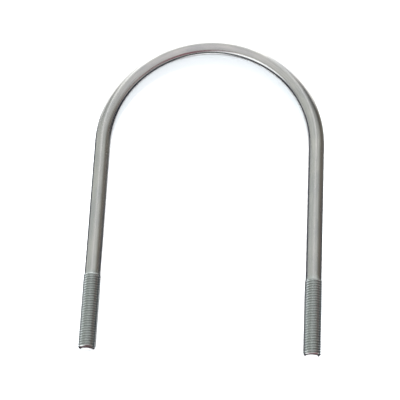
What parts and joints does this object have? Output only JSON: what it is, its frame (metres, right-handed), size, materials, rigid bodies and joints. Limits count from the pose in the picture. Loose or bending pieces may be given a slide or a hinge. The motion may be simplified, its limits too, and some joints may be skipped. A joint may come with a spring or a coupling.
{
  "type": "u-bolt",
  "caption": "Round-bow U-bolt of zinc-plated steel rod with a rolled thread on the end of each leg, for clamping a pipe or tube to a surface.",
  "frame": {"origin": "centre of the bend, on the axis of the pipe that the bolt holds and at mid-thickness of the rod", "axes": "+X across the two legs, legs along -Y with the bow on the +Y side, +Z along the pipe's axis and through the rod's thickness; the U lies flat in the XY plane"},
  "size_m": [0.1648, 0.2349, 0.012],
  "materials": {
    "zinc_plated_steel": "bright zinc plate over drawn steel rod, satin to semi-gloss"
  },
  "bodies": {
    "root": {"u_bolt": "zinc_plated_steel"}
  },
  "joints": []
}
